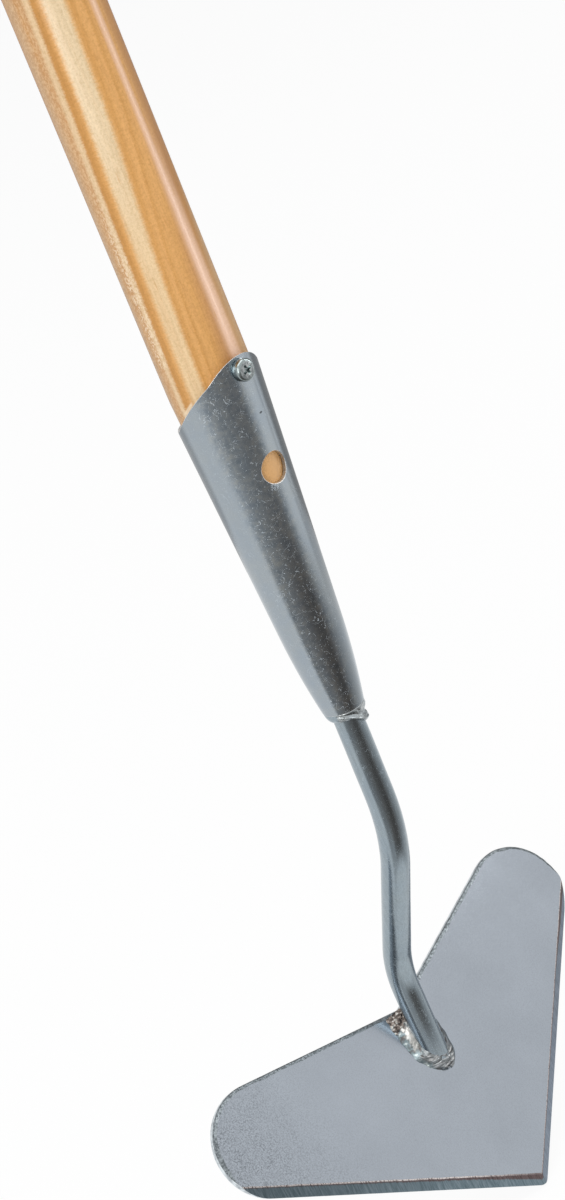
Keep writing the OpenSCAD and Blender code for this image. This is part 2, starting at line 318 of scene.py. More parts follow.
def wood_material():
    """Lacquered softwood: bands of early and late wood, fibres, short pores and scuffs."""
    g = Nodes("lacquered_wood")
    x, y, z = g.axes()
    share = g.mul_add(g.maths("ARCTAN2", y, x), 0.5 / pi, 0.5)
    # The grain turns slowly about the axis on its way up, and wanders
    calm = g.mul_add(g.less(z, 0.055), -0.36, share)
    calm = g.mul_add(g.less(g.cloud((30, 30, 5), 2.0), 0.5), 0.030, calm)
    # Short hairs across the grain feather the borders of the bands
    fur = g.cloud((700, 700, 2300), 3.0, 0.65)
    grown = g.mul_add(g.less(fur, 0.5), 0.021, calm)
    # The bands right of the cream one draw in towards the socket
    low = g.between(z, 0.085, 0.020)
    excess = g.most(g.less(grown, 0.36), 0.0)
    grown = g.maths("FRACT", g.mul_add(excess, g.times(low, 0.55), grown))
    colour = g.ramp(grown, WOOD_BANDS)
    # A paler middle to the cream band that fades towards the socket: paler wood, and a painted highlight
    pale_wood_and_highlight = g.band(grown, 0.370, 0.022, 0.022)
    colour = g.blend(g.times(pale_wood_and_highlight, g.spread(low, 0.85, 0.15)), colour, PALE)
    # Narrow late-wood streaks and fine fibres along the stick
    streaks = g.between(g.cloud((330, 330, 7), 3.0, 0.55), 0.54, 0.70)
    colour = g.blend(g.times(streaks, g.spread(pale_wood_and_highlight, 0.50, 0.15)), colour, STREAK)
    fibres = g.cloud((1500, 1500, 60), 4.0, 0.65)
    colour = g.tinted(0.5, colour, fibres, (0.32, (0.84, 0.80, 0.74)), (0.70, (1.07, 1.07, 1.06)))
    # Silky flecks across the grain, and a fine mealy grain
    flecks = g.cloud((560, 560, 1900), 4.0, 0.7)
    colour = g.tinted(0.55, colour, flecks, (0.34, (0.90, 0.87, 0.80)), (0.66, (1.05, 1.05, 1.06)))
    meal = g.cloud((1700, 1700, 1200), 2.0, 0.7)
    colour = g.tinted(0.7, colour, meal, (0.36, (0.90, 0.86, 0.79)), (0.64, 1.07))
    # Painted highlights on the lacquer where the side strip's reflection lies: a narrow pink one, and a pale
    # lustre that widens towards the socket; and a browner strip beside them
    painted_highlight = g.times(g.band(share, 0.5225, 0.008, 0.014), g.spread(fur, 0.45, 1.0))
    colour = g.blend(painted_highlight, colour, PAINTED_PINK_HIGHLIGHT)
    painted_highlight = g.times(g.band(share, 0.528, 0.012, 0.030), g.spread(fur, 0.45, 1.05), low)
    colour = g.blend(painted_highlight, colour, PAINTED_PALE_HIGHLIGHT)
    # The browner strip near the right outline is painted shade, with some browner wood
    colour = g.blend(g.times(g.band(share, 0.605, 0.035, 0.025), 0.5), colour, BROWN)
    # Short brown pores, and a pale grit on the left flank
    pores = g.between(g.cloud((1300, 1300, 130), 1.0), 0.70, 0.78)
    colour = g.blend(g.times(pores, 0.40), colour, STREAK)
    grit = g.between(meal, 0.48, 0.58)
    colour = g.blend(g.times(g.band(calm, 0.225, 0.040, 0.02), grit, 0.40), colour, SCUFFED)
    # The scuffed band frays to pale crumbs towards the socket, and stops short of it
    fray = g.times(g.band(calm, 0.270, 0.016, 0.016), g.between(z, 0.070, 0.030), g.between(z, 0.001, 0.006))
    # Chipped lacquer just above the slanted mouth
    slope = tan(MOUTH_ANGLE)
    above = g.maths("ADD", z, g.mul_add(x, -slope, (MOUTH_KNEE * slope + TONGUE_LEN) * MM))
    mouth = g.times(g.between(above, 0.0021, 0.0014), g.band(share, 0.276, 0.022, 0.012))
    worn = g.most(g.times(fray, grit), mouth)
    colour = g.blend(g.times(worn, 0.85), colour, CRUMB)
    # Bare wood inside the socket
    colour = g.blend(g.between(z, -0.019, -0.022), colour, RAW)
    return g.done(
        Base_Color=colour,
        Roughness=g.spread(fibres, 0.45, 0.60),
        Normal=g.bump(g.mul_add(worn, 0.8, fibres), 0.14, 0.0004),
        Specular_IOR_Level=0.0, Coat_Weight=0.8, Coat_Roughness=0.20, Coat_IOR=1.5,
    )


# Scale, width and cover of the zinc's hairlines, and scale, share and size of its specks
HAIRLINES = ((260.0, 0.008, 0.48), (520.0, 0.012, 0.53), (140.0, 0.005, 0.50))
SPECKS = ((800.0, 0.10, 0.16), (1500.0, 0.08, 0.24))


def scratch_mask(g, scale, width, cover):
    """Thin curved hairlines in broken lengths, as a mask."""
    line = g.maths("ABSOLUTE", g.less(g.cloud(scale, 1.5, 0.4, 0.8), 0.5))
    patches = g.cloud(scale * 2.3, 2.0)
    return g.times(g.between(line, width, 0.0), g.between(patches, cover, cover + 0.06))


def speck_mask(g, scale, share, size):
    """Round specks in a share of a pattern's cells, as a mask."""
    cells = g.add("ShaderNodeTexVoronoi", {"Vector": g.coords(), "Scale": scale}).outputs
    pick = g.add("ShaderNodeSeparateColor", {0: cells["Color"]}).outputs[0]
    return g.times(g.between(cells["Distance"], size, size * 0.4), g.maths("GREATER_THAN", pick, 1.0 - share))


def spot_mask(g, spot, reach):
    """Ellipse about a y and z in millimetres on the +X side, as a mask."""
    x, y, z = g.axes()
    across = g.maths("DIVIDE", g.less(y, spot[0] * MM), reach[0] * MM)
    along = g.maths("DIVIDE", g.less(z, spot[1] * MM), reach[1] * MM)
    away = g.maths("ADD", g.times(across, across), g.times(along, along))
    return g.times(g.between(away, 1.0, 0.6), g.maths("GREATER_THAN", x, 0.0))


def scaled(colour, factor):
    """Colour times one factor, or one for each channel, up to 1."""
    factors = factor if isinstance(factor, tuple) else (factor,) * 3
    return tuple(min(c * f, 1.0) for c, f in zip(colour, factors))


def shades(colour, *stops):
    """Ramp stops of a colour, from places and factors."""
    return [(place, scaled(colour, factor)) for place, factor in stops]


def zinc_material(name, colour, sheen, marks, draw=0.0, scuff=None, nick=None, zone=None):
    """Zinc plating: clouding, a fine grain, hairlines, specks, drawing marks and a mottled zone with more
    marks.
    """
    g = Nodes(name)
    clouds = g.cloud(130.0, 5.0, 0.65)
    tone = g.ramp(clouds, shades(colour, (0.32, (0.95, 0.97, 1.00)), (0.68, (1.04, 1.02, 0.99))))
    lines = g.cloud((1900, 1900, 90), 3.0, 0.6)
    tone = g.blend(draw, tone, g.ramp(lines, shades(colour, (0.34, 0.72), (0.66, 1.20))))
    hairs = [scratch_mask(g, *kind) for kind in HAIRLINES]
    worn = g.most(*hairs, *(speck_mask(g, *kind) for kind in SPECKS))
    if scuff:
        frayed = g.between(g.cloud(2400.0, 2.0, 0.6), 0.47, 0.55)
        worn = g.most(worn, g.times(frayed, spot_mask(g, *scuff)))
    worn = g.times(worn, marks)
    # A zone towards the camera, where the dark reflection lies, keeps its marks strong and gets a mottled
    # tone
    if zone:
        x, y, _ = g.axes()
        facing_zone = g.band(g.maths("ARCTAN2", y, x), *map(radians, zone))
        worn = g.times(worn, g.spread(facing_zone, 0.35, 1.0))
        mottle = g.cloud(480.0, 4.0, 0.65)
        tone = g.tinted(facing_zone, tone, mottle, (0.34, (0.80, 0.83, 0.86)), (0.66, (1.20, 1.15, 1.08)))
    tone = g.blend(worn, tone, scaled(colour, 1.7))
    if nick:
        tone = g.blend(spot_mask(g, *nick), tone, scaled(colour, 0.30))
    rough = g.mul_add(clouds, 0.16, sheen - 0.08)
    rough = g.mul_add(worn, 0.45, rough, clamp=True)
    fine = g.cloud(1700.0, 3.0, 0.75)
    height = g.mul_add(lines, draw, g.mul_add(worn, -0.5, fine))
    return g.metal(tone, rough, height, 0.05)


def plate_material(colour):
    """Satin zinc on the blade, with a fine dark grain that thickens on the -Y lobe."""
    g = Nodes("zinc_blade")
    clouds = g.cloud(45.0, 4.0, 0.55)
    tone = g.ramp(clouds, shades(colour, (0.30, 0.95), (0.70, 1.04)))
    grain = g.cloud(1900.0, 2.0, 0.75)
    lobe = g.between(g.axes()[1], -0.040, -0.088)
    patch = g.spread(g.between(g.cloud(170.0), 0.35, 0.65), 0.55, 1.0)
    amount = g.spread(g.times(lobe, patch), 0.10, 0.95)
    pitted = g.ramp(grain, shades(colour, (0.36, 0.42), (0.50, 0.86), (0.64, 1.12)))
    rough = g.mul_add(amount, 0.10, g.spread(clouds, 0.16, 0.21))
    return g.metal(g.blend(amount, tone, pitted), rough, grain, 0.05)


def cut_material(name, pale, dark, scale, rough):
    """Cut edge of steel: pale and dark patches, as a shear leaves them."""
    g = Nodes(name)
    patches = g.cloud(scale, 3.0, 0.65)
    tone = g.ramp(patches, ((0.40, dark), (0.60, pale)))
    return g.metal(tone, g.spread(patches, rough + 0.12, rough), patches, 0.25)


def ground_material():
    """Ground bevel: bright burr, red-brown strip that widens to the tip, blue-grey marks."""
    g = Nodes("ground_bevel")
    along, depth, _ = g.axes("grind")
    marks = g.cloud((2.2, 0.22, 1), 4.0, 0.7, uv="grind")
    ragged = g.cloud((2.4, 0.5, 1), uv="grind")
    place = g.mul_add(g.less(ragged, 0.5), 0.26, g.maths("DIVIDE", depth, BEVEL_W))
    # Width of the brown strip along the two edges, with the tip at the ramp's middle
    spot = g.mul_add(along, 0.5 / BEVEL_RUN, 0.5)
    minus_side = ((0.00, 0.10), (0.22, 0.15), (0.38, 0.24), (0.47, 0.40), (0.498, 0.48))
    plus_side = ((0.502, 0.12), (0.86, 0.14), (0.96, 0.42))
    width = g.ramp(spot, minus_side + plus_side)
    brown = g.between(place, g.maths("ADD", width, 0.12), width)
    teal = ((0.34, (0.10, 0.14, 0.16)), (0.50, (0.155, 0.205, 0.235)), (0.66, (0.235, 0.29, 0.325)))
    blue = ((0.34, (0.13, 0.16, 0.20)), (0.50, (0.19, 0.23, 0.285)), (0.66, (0.28, 0.325, 0.39)))
    tone = g.blend(g.between(spot, 0.500, 0.503), g.ramp(marks, teal), g.ramp(marks, blue))
    dark_strip = g.ramp(marks, ((0.36, (0.065, 0.048, 0.048)), (0.64, (0.175, 0.132, 0.132))))
    tone = g.blend(brown, tone, dark_strip)
    # The burr is strongest on the -Y edge and fades out at the tip
    shown = g.ramp(spot, ((0.00, 1.0), (0.36, 0.9), (0.47, 0.25), (0.498, 0.12), (0.502, 0.5), (1.00, 0.9)))
    burr = g.times(g.between(place, 0.16, 0.08), g.between(ragged, 0.40, 0.52), shown)
    tone = g.blend(burr, tone, (0.86, 0.80, 0.79))
    return g.metal(tone, g.spread(marks, 0.30, 0.50), marks, 0.25)


def weld_material():
    """Plated weld: painted highlight patch, flanks in painted shade with painted glints, brown heel, wrinkled
    toe in painted light and shade.
    """
    g = Nodes("plated_weld")
    along, across, _ = g.axes("bead")
    shift = g.less(g.cloud(520.0, 3.0, 0.6), 0.5)
    out = g.mul_add(shift, 0.5, g.maths("ABSOLUTE", across))
    run = g.mul_add(shift, 5.0, along)
    # Flanks: dark teal and brown painted shade, with pale painted glints
    patches = g.cloud(420.0, 2.0, 0.5, 0.4)
    tone = g.ramp(patches, (
        (0.40, (0.09, 0.082, 0.08)), (0.52, (0.17, 0.215, 0.23)),
        (0.62, (0.24, 0.29, 0.31)), (0.69, (0.50, 0.56, 0.55)),
    ))
    # Wrinkled toe: folds that follow its border, with painted light and shade as pale and dark lines
    folds = g.cloud((0.32, 1.5, 1), 3.0, 0.6, 0.6, "rings")
    wrinkled = g.ramp(folds, (
        (0.38, (0.09, 0.085, 0.085)), (0.48, (0.24, 0.26, 0.27)), (0.56, (0.32, 0.34, 0.35)), (0.65, 0.70),
    ))
    toe = g.times(g.between(run, -4.0, 0.0), g.between(out, 1.0, 0.7))
    tone = g.blend(toe, tone, wrinkled)
    # Painted highlight: a bright patch beside the rod, where the bead faces up
    patch = g.times(g.between(run, -14.0, -12.0), g.between(run, -3.0, -5.0), g.between(out, 0.86, 0.74))
    bright = g.ramp(patches, ((0.36, (0.27, 0.28, 0.27)), (0.60, (0.49, 0.48, 0.465))))
    tone = g.blend(patch, tone, bright)
    # Brown crumpled heel, with painted pale glints
    crumbs = ((0.40, (0.065, 0.055, 0.05)), (0.53, (0.17, 0.145, 0.13)), (0.67, (0.52, 0.54, 0.52)))
    crumpled = g.ramp(g.cloud(680.0, 3.0, 0.6, 0.5), crumbs)
    tone = g.blend(g.between(run, -11.5, -13.5), tone, crumpled)
    fine = g.cloud(1100.0, 3.0, 0.6)
    return g.metal(tone, g.spread(fine, 0.28, 0.48), g.maths("ADD", folds, fine), 0.25, 0.0005)


# Pieces


def added(name, data):
    """New object in the scene."""
    made = bpy.data.objects.new(name, data)
    bpy.context.scene.collection.objects.link(made)
    return made


def solid(name, points, faces):
    """Mesh object from points in millimetres, its faces turned outwards."""
    mesh = bpy.data.meshes.new(name)
    mesh.from_pydata([Vector(p) * MM for p in points], [], faces)
    work = bmesh.new()
    work.from_mesh(mesh)
    bmesh.ops.recalc_face_normals(work, faces=work.faces)
    work.to_mesh(mesh)
    work.free()
    return added(name, mesh)


def new_piece(name, points, faces, cad_node, slot, materials, sharp=40):
    """Smooth-shaded piece in place of a CAD node."""
    piece = solid(name, points, faces)
    piece.data.shade_smooth()
    piece.data.set_sharp_from_angle(angle=radians(sharp))
    for material in materials:
        piece.data.materials.append(material)
    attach(piece, "root")
    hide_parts(cad_node)
    return piece


def paint(piece, picked):
    """Gives the second material to the faces that are picked."""
    for polygon in piece.data.polygons:
        polygon.material_index = 1 if picked(polygon) else 0


def soften(piece, width, material):
    """Rounds sharp edges, with one of the piece's materials on them."""
    rounding = piece.modifiers.new("rounding", "BEVEL")
    rounding.width = width * MM
    rounding.segments = 2
    rounding.limit_method = "ANGLE"
    rounding.angle_limit = radians(35)
    rounding.material = material


def strip(first, second):
    """Faces between two closed rows of point numbers."""
    count = len(first)
    return [(first[k], first[(k + 1) % count], second[(k + 1) % count], second[k]) for k in range(count)]


def grid_faces(rows, columns):
    """Faces of a grid, with its points numbered row by row."""
    width = columns + 1
    starts = [i * width + j for i in range(rows) for j in range(columns)]
    return [(a, a + 1, a + width + 1, a + width) for a in starts]


def tube(rings, joined=False):
    """Points and faces of a skin over rings, capped or with the last ring joined to the first."""
    count = len(rings[0])
    rows = [range(i * count, (i + 1) * count) for i in range(len(rings))]
    faces = []
    for first, second in zip(rows, rows[1:]):
        faces += strip(first, second)
    faces += strip(rows[-1], rows[0]) if joined else [tuple(rows[0]), tuple(rows[-1])]
    return [p for ring in rings for p in ring], faces


def turns(count):
    """Angles that share a full turn evenly."""
    return [2 * pi * j / count for j in range(count)]


def around(radius, angle, z):
    """Point at a radius and an angle about Z."""
    return radius * cos(angle), radius * sin(angle), z


def lathe(profile, count):
    """Rings about Z from (radius, z) pairs."""
    return [[around(r, a, z) for a in turns(count)] for r, z in profile]


def shoulder(radius, top, rounding, steps):
    """Profile of a rounded shoulder, from its side to its top."""
    angles = [pi / 2 * i / steps for i in range(steps + 1)]
    return [(radius - rounding + rounding * cos(a), top - rounding + rounding * sin(a)) for a in angles]


def make_handle():
    """Turned stick with a slightly uneven skin, a rounded top and a tapered foot."""
    taper_rings, ring_step, sides = 18, 12.0, 96
    foot_chamfer, uneven = 0.6, 0.16
    profile = [(HANDLE_FOOT_R - foot_chamfer, HANDLE_BOTTOM)]
    for i in range(1, taper_rings + 1):
        share = i / taper_rings
        profile.append((
            HANDLE_FOOT_R + (HANDLE_R - HANDLE_EASE - HANDLE_FOOT_R) * share,
            HANDLE_BOTTOM + (HANDLE_TAPER - HANDLE_BOTTOM) * share,
        ))
    length = HANDLE_TOP - HANDLE_ROUND
    straight = int(length / ring_step)
    profile += [(HANDLE_R, length * i / straight) for i in range(straight + 1)]
    profile += shoulder(HANDLE_R, HANDLE_TOP, HANDLE_ROUND, 8)[1:]
    profile += [(5.0, HANDLE_TOP), (2.0, HANDLE_TOP)]
    rings = lathe(profile, sides)
    for ring in rings:
        for j, (x, y, z) in enumerate(ring):
            pit = 0.5 + 0.5 * noise(Vector((x * 0.09, y * 0.09, z * 0.012)))
            shrink = 1 - uneven * pit / HANDLE_R
            ring[j] = (x * shrink, y * shrink, z)
    new_piece("handle_stick", *tube(rings), "handle", "wood", [wood_material()])


def socket_radius(z):
    """Outer radius of the socket at a height."""
    if z >= -TAPER_LEN:
        return MOUTH_R + TAPER_SLOPE * z
    drop = -TAPER_LEN - z
    return WAIST_R - TAPER_SLOPE * drop - NOSE_CURVE * drop * drop


def rounded_corner(x, corner, low, high, radius):
    """Height at x of a line that turns from the slope low to high at a corner, over a radius."""
    setback = radius * tan((high - low) / 2)
    start = corner[0] - setback * cos(low)
    end = corner[0] + setback * cos(high)
    if x <= start:
        return corner[1] + (x - corner[0]) * tan(low)
    if x >= end:
        return corner[1] + (x - corner[0]) * tan(high)
    centre_x = start - radius * sin(low)
    centre_z = corner[1] - setback * sin(low) + radius * cos(low)
    return centre_z - sqrt(radius ** 2 - (x - centre_x) ** 2)


def mouth_height(x):
    """Height of the slanted mouth at x."""
    corner_x = MOUTH_KNEE - (MOUTH_BACK - TONGUE_LEN) / tan(MOUTH_ANGLE)
    if x < (MOUTH_KNEE + corner_x) / 2:
        return rounded_corner(x, (corner_x, -MOUTH_BACK), 0.0, MOUTH_ANGLE, MOUTH_BLEND)
    return rounded_corner(x, (MOUTH_KNEE, -TONGUE_LEN), MOUTH_ANGLE, TONGUE_ANGLE, MOUTH_BLEND)


def make_socket(material, cut_edge):
    """Rolled sheet with a slanted mouth, a round hole in front and an open seam behind."""
    columns, rows, hole_rings, rim_tries = 144, 96, 5, 40
    block_angle, block_half = radians(34), 7.6
    layers = (0.0, WALL)
    angles = [pi * (2 * i / columns - 1) for i in range(columns + 1)]
    points, faces, index = [], [], {}
    for layer, inset in enumerate(layers):
        for i, angle in enumerate(angles):
            high = 0.0
            for _ in range(rim_tries):
                high = mouth_height((socket_radius(high) - inset) * cos(angle))
            for j in range(rows + 1):
                z = high + (SOCKET_END - high) * j / rows
                radius = socket_radius(z) - inset
                turn = angle * (1 - asin(SEAM_HALF / radius) / pi)
                index[layer, i, j] = len(points)
                points.append(around(radius, turn, z))
    # The grid leaves a block open about the hole
    front = [points[index[0, columns // 2, j]] for j in range(rows + 1)]
    hole_cols = [i for i, angle in enumerate(angles) if abs(angle) <= block_angle]
    hole_rows = [j for j, (_, _, z) in enumerate(front) if abs(z - HOLE_Z) <= block_half]
    left, right = hole_cols[0], hole_cols[-1]
    top, bottom = hole_rows[0], hole_rows[-1]
    for layer in (0, 1):
        for i in range(columns):
            for j in range(rows):
                if not (left <= i < right and top <= j < bottom):
                    corners = ((i, j), (i + 1, j), (i + 1, j + 1), (i, j + 1))
                    faces.append(tuple(index[layer, a, b] for a, b in corners))
    # Rings from that block to the round hole
    border = [(i, top) for i in range(left, right)] + [(right, j) for j in range(top, bottom)]
    border += [(i, bottom) for i in range(right, left, -1)] + [(left, j) for j in range(bottom, top, -1)]
    outer = [points[index[0, i, j]] for i, j in border]
    bearings = [atan2(z - HOLE_Z, y) for _, y, z in outer]
    loops = []
    for layer, inset in enumerate(layers):
        start = [index[layer, i, j] for i, j in border]
        loop = start
        for ring in range(1, hole_rings + 1):
            share = (ring / hole_rings) ** 0.8
            fresh = []
            for k, bearing in zip(start, bearings):
                _, y, z = points[k]
                y += (HOLE_R * cos(bearing) - y) * share
                z += (HOLE_Z + HOLE_R * sin(bearing) - z) * share
                radius = socket_radius(z) - inset
                fresh.append(len(points))
                points.append((sqrt(radius * radius - y * y), y, z))
            faces += strip(loop, fresh)
            loop = fresh
        loops.append(loop)
    skin = len(faces)
    # Wall of the hole, mouth, end of the nose and lips of the seam
    faces += strip(*loops)
    ends = [(i, j, i + 1, j) for i in range(columns) for j in (0, rows)]
    lips = [(i, j, i, j + 1) for j in range(rows) for i in (0, columns)]
    for i, j, m, n in ends + lips:
        faces.append((index[0, i, j], index[0, m, n], index[1, m, n], index[1, i, j]))
    piece = new_piece("socket_sheet", points, faces, "socket", "zinc_sheet", [material, cut_edge])
    paint(piece, lambda polygon: polygon.index >= skin)
    soften(piece, 0.5, 1)


def make_screw(material, dull):
    """Pan head screw with a cross recess, square to the tongue."""
    face_r, shank_r, point_r, rim = 2.7, 2.0, 0.6, 0.35
    shank_end, point_end = -14.0, -19.0
    profile = [(point_r, point_end), (shank_r, shank_end), (shank_r, -0.4)]
    profile += [(HEAD_R - rim, 0.0), (HEAD_R, rim)]
    profile += shoulder(HEAD_R, HEAD_H - 0.12, 0.9, 6)
    profile += [(1.9, HEAD_H - 0.05), (1.0, HEAD_H), (0.3, HEAD_H)]
    points, faces = tube(lathe(profile, 64))
    lean = Matrix.Rotation(pi / 2 + atan(TAPER_SLOPE), 4, "Y")
    seat = Matrix.Translation(Vector((socket_radius(SCREW_Z), 0, SCREW_Z))) @ lean
    points = [seat @ Vector(p) for p in points]
    piece = new_piece("screw_pan_head", points, faces, "handle_screw", "screw_steel", [material, dull], 50)
    axis = seat.to_3x3() @ Vector((0, 0, 1))

    def on_face(polygon):
        local = seat.inverted() @ (polygon.center / MM)
        return polygon.normal.dot(axis) > 0.8 and hypot(local.x, local.y) < face_r

    paint(piece, on_face)
    # A tapered cross is cut out of the head
    cutter = cross_cutter(seat)
    cut = piece.modifiers.new("recess", "BOOLEAN")
    cut.operation = "DIFFERENCE"
    cut.solver = "EXACT"
    cut.object = cutter
    graph = bpy.context.evaluated_depsgraph_get()
    carved = bpy.data.meshes.new_from_object(piece.evaluated_get(graph), depsgraph=graph)
    piece.modifiers.clear()
    piece.data = carved
    carved.set_sharp_from_angle(angle=radians(40))
    bpy.data.objects.remove(cutter)


def cross_cutter(seat):
    """Cross-shaped block, narrower at its bottom, over the screw's head."""
    reach, half, depth, over = 2.0, 0.52, 0.75, 0.6
    arm = [(half, reach), (-half, reach), (-half, half)]
    outline = []
    for _ in range(4):
        outline += arm
        arm = [(-y, x) for x, y in arm]
    turned = seat @ Matrix.Rotation(radians(20), 4, "Z")
    rings = []
    for size, z in ((0.6, HEAD_H - depth), (1.08, HEAD_H + over)):
        rings.append([turned @ Vector((x * size, y * size, z)) for x, y in outline])
    return solid("recess_cutter", *tube(rings))


def rod_path():
    """Points along the rod's middle with their headings, from the socket to near the blade."""
    bend_steps, middle_steps, end_steps, top_step = 16, 14, 10, 3
    path = [(Vector((0, 0, NECK_TOP - i)), 0.0) for i in range(0, int(NECK_TOP - BEND_1_Z), top_step)]
    for i in range(bend_steps + 1):
        angle = -BEND_1_ANGLE * i / bend_steps
        path.append((BEND_1_CENTRE + square_to(angle) * BEND_1_R, angle))
    for i in range(1, middle_steps):
        path.append((MIDDLE_START + OUT * (MIDDLE_RUN * i / middle_steps), -BEND_1_ANGLE))
    for i in range(bend_steps + 1):
        angle = BEND_2_ANGLE * i / bend_steps - BEND_1_ANGLE
        path.append((BEND_2_CENTRE - square_to(angle) * BEND_2_R, angle))
    for i in range(1, end_steps // 2 + 1):
        path.append((END_START + BACK * (END_RUN * i / end_steps), END_ANGLE))
    return path


def make_neck(material):
    """Cranked rod, cut flush with the blade's face and square at its toe."""
    sides, wear = 72, 0.05
    rings = []
    for centre, angle in rod_path():
        ring = []
        for a in turns(sides):
            direction = square_to(angle) * cos(a) + ACROSS * sin(a)
            uneven = wear * noise((centre + direction * NECK_R) * 0.12)
            ring.append(centre + direction * (NECK_R - wear + uneven))
        rings.append(ring)
    # The last ring runs on to the blade's face or to the square toe
    last = rings[-1]
    foot = []
    for p in last:
        local = p - FOOT
        to_face = -local.dot(FACE_UP) / BACK.dot(FACE_UP)
        to_toe = (FOOT_REACH - local.dot(TO_TIP)) / BACK.dot(TO_TIP)
        foot.append(p + BACK * min(to_face, to_toe))
    rings.append([p.lerp(q, 0.5) for p, q in zip(last, foot)])
    rings.append(foot)
    new_piece("neck_rod", *tube(rings), "neck", "zinc_rod", [material], 60)


# Lumps of the bead under the socket: bearing in degrees, height, size and reach
WELD_LUMPS = (
    (4, -124.5, 0.55, 0.9), (44, -125.0, 0.40, 1.2), (50, -128.3, 0.35, 1.3), (-12, -126.2, 0.18, 0.8),
)


def weld_height(bearing):
    """How far down the bead under the socket reaches, at a bearing in degrees."""
    return 0.9 + 6.1 * ease(-75, 50, bearing) * (1 - ease(75, 150, bearing))


def weld_relief(bearing, drop, z):
    """How far that bead stands out, at a bearing, a drop below its top and a height."""
    height = weld_height(bearing)
    place = (drop - 0.25) / height
    # Ridge along the sheet's end, hollow below it and a second ridge at the lower border
    ridges = 0.22 * hump(drop, 0.45, 0.28) + 0.35 * hump(place, 0.92, 0.09)
    hollow = 0.85 * hump(place, 0.48, 0.25) * min(1.0, height / 3)
    spot = Vector(around(5, radians(bearing), z))
    rough = 0.16 * noise(spot * 0.9) + 0.08 * noise(spot * 2.2)
    for centre, level, size, reach in WELD_LUMPS:
        across = radians(bearing - centre) * 6.5
        rough += size * exp(-(across ** 2 + (z - level) ** 2) / reach ** 2)
    crescent = ease(-78, -52, bearing) * (1 - ease(70, 110, bearing))
    return (ridges - hollow + rough) * crescent


def make_socket_weld(zinc, bright):
    """Bead between socket and rod: smooth behind, a hollow crescent on the tongue's side."""
    sides, steps = 150, 44
    top, bore_foot = SOCKET_END + 0.25, SOCKET_END - 3.0
    bore_r, least_r = 4.7, 4.75
    bearings = [360.0 * j / sides - 180 for j in range(sides)]
    rings = []
    for i in range(steps + 1):
        share = pi / 2 * i / steps
        fade = min(1.0, 6 * i / steps) * min(1.0, 6 * (1 - i / steps))
        ring = []
        for bearing in bearings:
            drop = max(3.7, 1.1 * weld_height(bearing)) * sin(share) ** 1.2
            radius = NECK_R - 0.2 + (NOSE_R - NECK_R + 0.1) * cos(share) ** 0.75
            radius = max(radius + weld_relief(bearing, drop, top - drop) * fade, least_r)
            ring.append(around(radius, radians(bearing), top - drop))
        rings.append(ring)
    for z in (bore_foot, top):
        rings.append([around(bore_r, radians(bearing), z) for bearing in bearings])
    piece = new_piece("socket_bead", *tube(rings, joined=True), "socket_weld", "weld", [zinc, bright], 70)
    paint(piece, lambda polygon: -66 < degrees(atan2(polygon.center.y, polygon.center.x)) < 90)


def blade_border():
    """Outline of the +Y half from tip to notch, with each point's offset from the edge line."""
    edge_steps, back_steps = 80, 30
    normal = Vector((sin(TIP_HALF), cos(TIP_HALF)))
    tip = Vector((TIP_X - TIP_R / sin(TIP_HALF), 0))
    lobe = Vector((TIP_X - (LOBE_R + LOBE_Y * cos(TIP_HALF)) / sin(TIP_HALF), LOBE_Y))
    turn = atan2(normal.y, normal.x)
    points = []

    def add_arc(centre, radius, first, last, steps):
        for i in range(steps + 1):
            angle = first + (last - first) * i / steps
            points.append(centre + radius * Vector((cos(angle), sin(angle))))

    add_arc(tip, TIP_R, 0, turn, 4)
    start, end = tip + TIP_R * normal, lobe + LOBE_R * normal
    points += [start.lerp(end, i / edge_steps) for i in range(1, edge_steps)]
    span = Vector((lobe.x - NOTCH_X, lobe.y))
    back = atan2(span.x, span.y) - asin(LOBE_R / span.length)
    back_normal = Vector((-cos(back), sin(back)))
    add_arc(lobe, LOBE_R, turn, atan2(back_normal.y, back_normal.x) % (2 * pi), 56)
    tangent, notch = lobe + LOBE_R * back_normal, Vector((NOTCH_X, 0))
    points += [tangent.lerp(notch, i / back_steps) for i in range(1, back_steps + 1)]
    edge = Vector((TIP_X, 0))
    return [(p, (edge - p).dot(normal)) for p in points], normal


